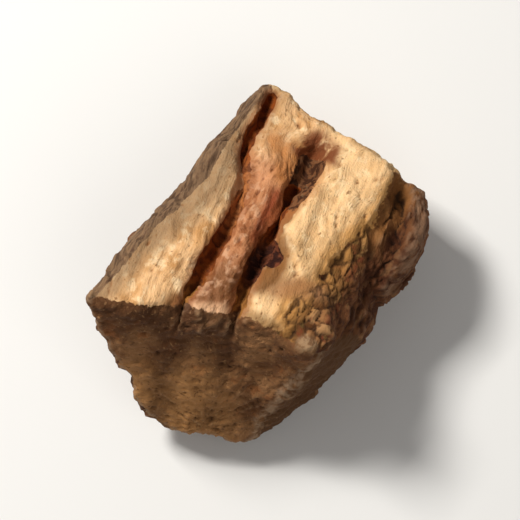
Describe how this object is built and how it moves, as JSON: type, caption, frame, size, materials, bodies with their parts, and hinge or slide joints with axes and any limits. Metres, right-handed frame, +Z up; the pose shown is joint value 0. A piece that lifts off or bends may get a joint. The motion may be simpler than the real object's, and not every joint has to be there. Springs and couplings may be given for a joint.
{
  "type": "gentian root piece",
  "caption": "Chopped piece of dried root, with a pale cut face, dark shrunken furrows along the grain, a broken end and wrinkled bark, lying on a flat cut side.",
  "frame": {"origin": "on the ground under the middle of the piece's outer box", "axes": "+Z up from the flat cut underside, +Y away from the broken end and nearly along the grain, +X towards the bark with the cork lip"},
  "size_m": [0.0122, 0.0128, 0.0078],
  "materials": {
    "dried_root": "dry, matt and rough, never polished"
  },
  "bodies": {
    "root": {"root_chunk": "dried_root"}
  },
  "joints": []
}
